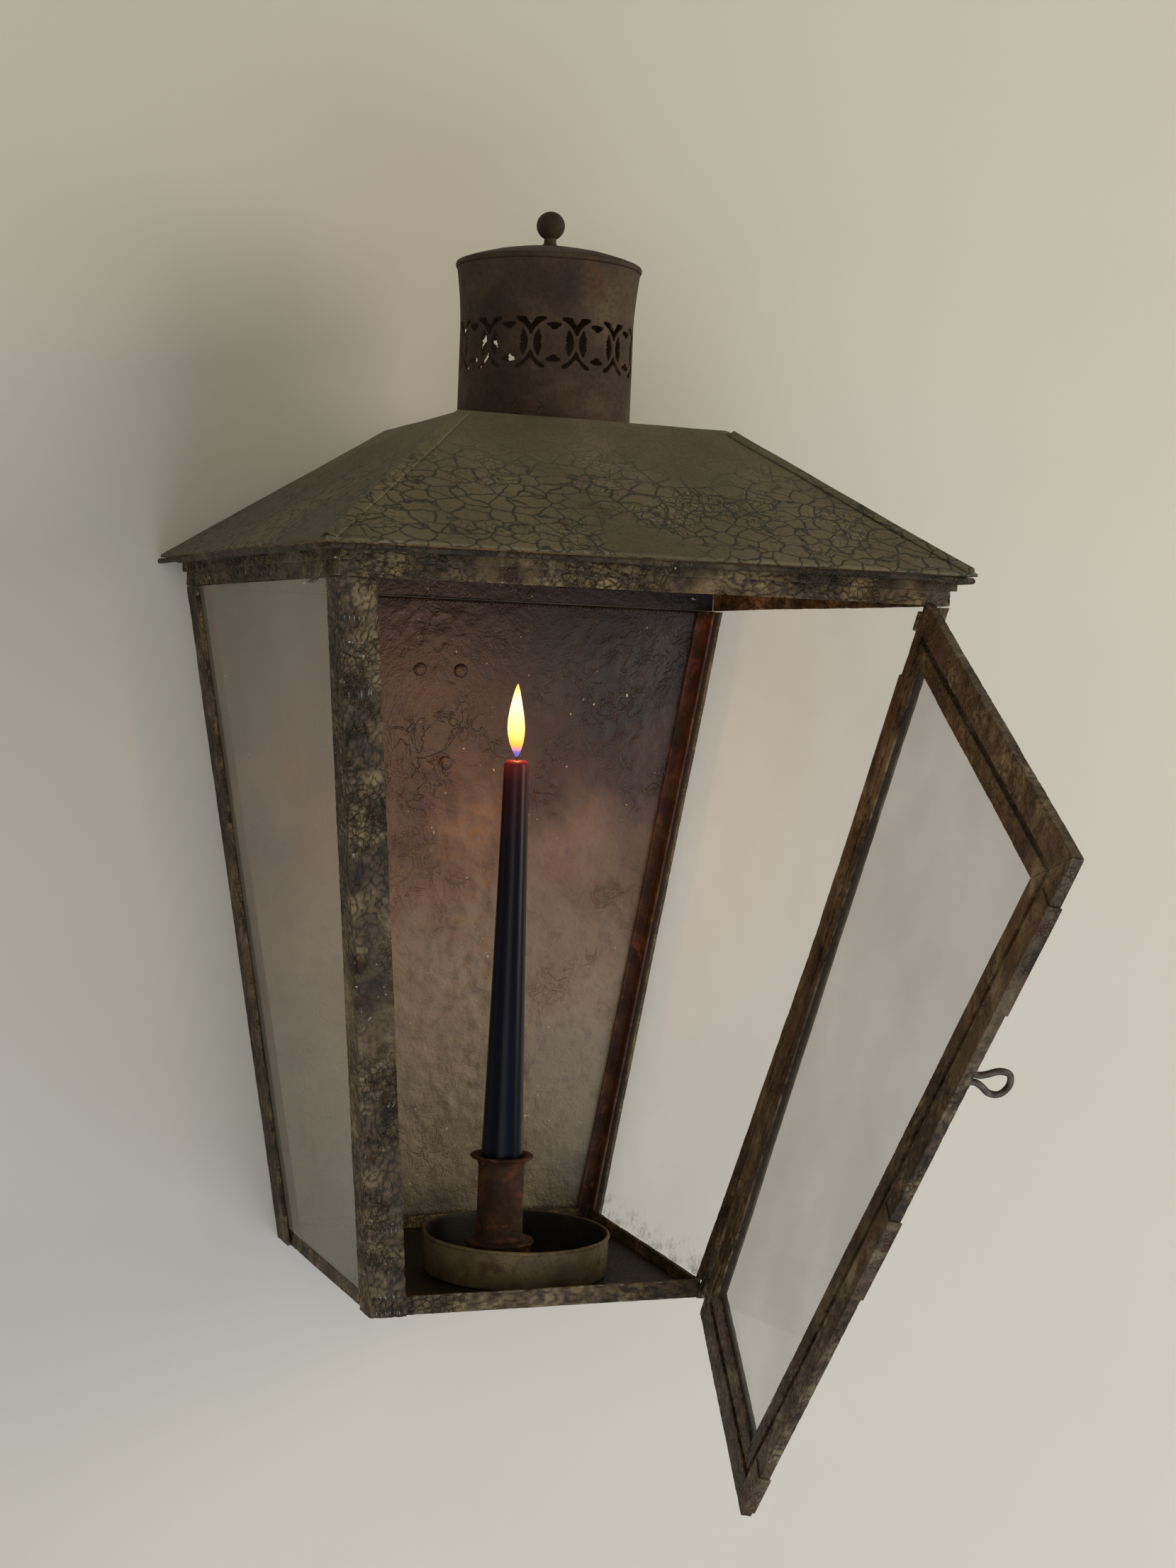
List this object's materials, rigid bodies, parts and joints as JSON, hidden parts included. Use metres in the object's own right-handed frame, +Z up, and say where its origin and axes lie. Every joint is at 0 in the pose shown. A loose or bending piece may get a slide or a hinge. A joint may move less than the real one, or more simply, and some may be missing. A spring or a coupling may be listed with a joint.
{
  "type": "outdoor wall lantern",
  "caption": "Tapered four-sided tin wall lantern with a hipped roof, pierced round chimney, side panes, a side-hinged glazed door standing open and a taper candle in a saucer holder.",
  "frame": {"origin": "on the rear face of the hanger plate, on the lantern's centre line, 38 mm below the hanging hole, where the wall carries the lantern", "axes": "+X to the right as seen by someone facing the lantern, +Y into the wall (the front faces -Y), +Z up"},
  "size_m": [0.3446, 0.5324, 0.6179],
  "materials": {
    "roof_paint": "old khaki oil paint on tinplate, matt and crazed",
    "body_paint": "old green-brown paint, crackled, with pale flecks",
    "door_paint": "worn brown paint over rust",
    "chimney_paint": "sooty purple-brown paint, matt",
    "back_paint": "beige-olive paint darkened by soot, blistered",
    "rusty_tin": "rusted sheet iron, matt",
    "pan_tin": "khaki-brown painted tin, worn",
    "wire": "dull iron wire",
    "wax": "smooth dark blue wax",
    "cotton": "charred cotton wick",
    "glass": "clear old window glass, slightly hazy"
  },
  "bodies": {
    "lantern": {"back_panel": "back_paint", "hanger_plate": "rusty_tin", "hanger_rivet_1": "back_paint", "hanger_rivet_2": "back_paint", "hanger_rivet_3": "back_paint", "floor_plate": "pan_tin", "base_rail_front": "body_paint", "base_rail_right": "body_paint", "base_rail_back": "body_paint", "base_rail_left": "body_paint", "front_left_post": "body_paint", "front_right_post": "body_paint", "rear_left_came": "body_paint", "rear_right_came": "body_paint", "left_front_bead": "body_paint", "right_front_bead": "body_paint", "left_rear_bead": "rusty_tin", "right_rear_bead": "rusty_tin", "left_glass": "glass", "right_glass": "glass", "fascia_front": "body_paint", "fascia_right": "body_paint", "fascia_back": "body_paint", "fascia_left": "body_paint", "torn_tab": "body_paint", "eave_bead_front": "roof_paint", "eave_bead_right": "roof_paint", "eave_bead_left": "roof_paint", "roof_front": "roof_paint", "roof_right": "roof_paint", "roof_back": "roof_paint", "roof_left": "roof_paint", "roof_flat": "roof_paint", "hip_strip_left": "roof_paint", "hip_strip_right": "roof_paint", "chimney_tube": "chimney_paint", "chimney_cap": "chimney_paint", "finial": "chimney_paint", "hinge_wire": "wire", "hinge_eye_bottom": "body_paint", "hinge_eye_top": "body_paint", "candle_pan": "pan_tin", "socket_foot": "rusty_tin", "candle_socket": "rusty_tin"},
    "door": {"door_bottom_rail": "door_paint", "door_hinge_stile": "door_paint", "door_top_rail": "door_paint", "door_latch_stile": "door_paint", "door_glass": "glass", "door_knuckle": "door_paint", "latch_patch_1": "door_paint", "latch_patch_2": "door_paint", "latch_patch_3": "door_paint", "latch_loop": "wire"},
    "taper": {"candle": "wax", "wick": "cotton"}
  },
  "joints": [
    {"name": "door_hinge", "type": "hinge", "parent": "lantern", "child": "door", "pos_m": [0.088, -0.17387, -0.305], "axis": [0.124, -0.3011, 0.9455], "range_deg": [-77, 95]},
    {"name": "candle_lift", "type": "slide", "parent": "lantern", "child": "taper", "axis": [0, 0, 1], "range_m": [0, 0.04]}
  ]
}
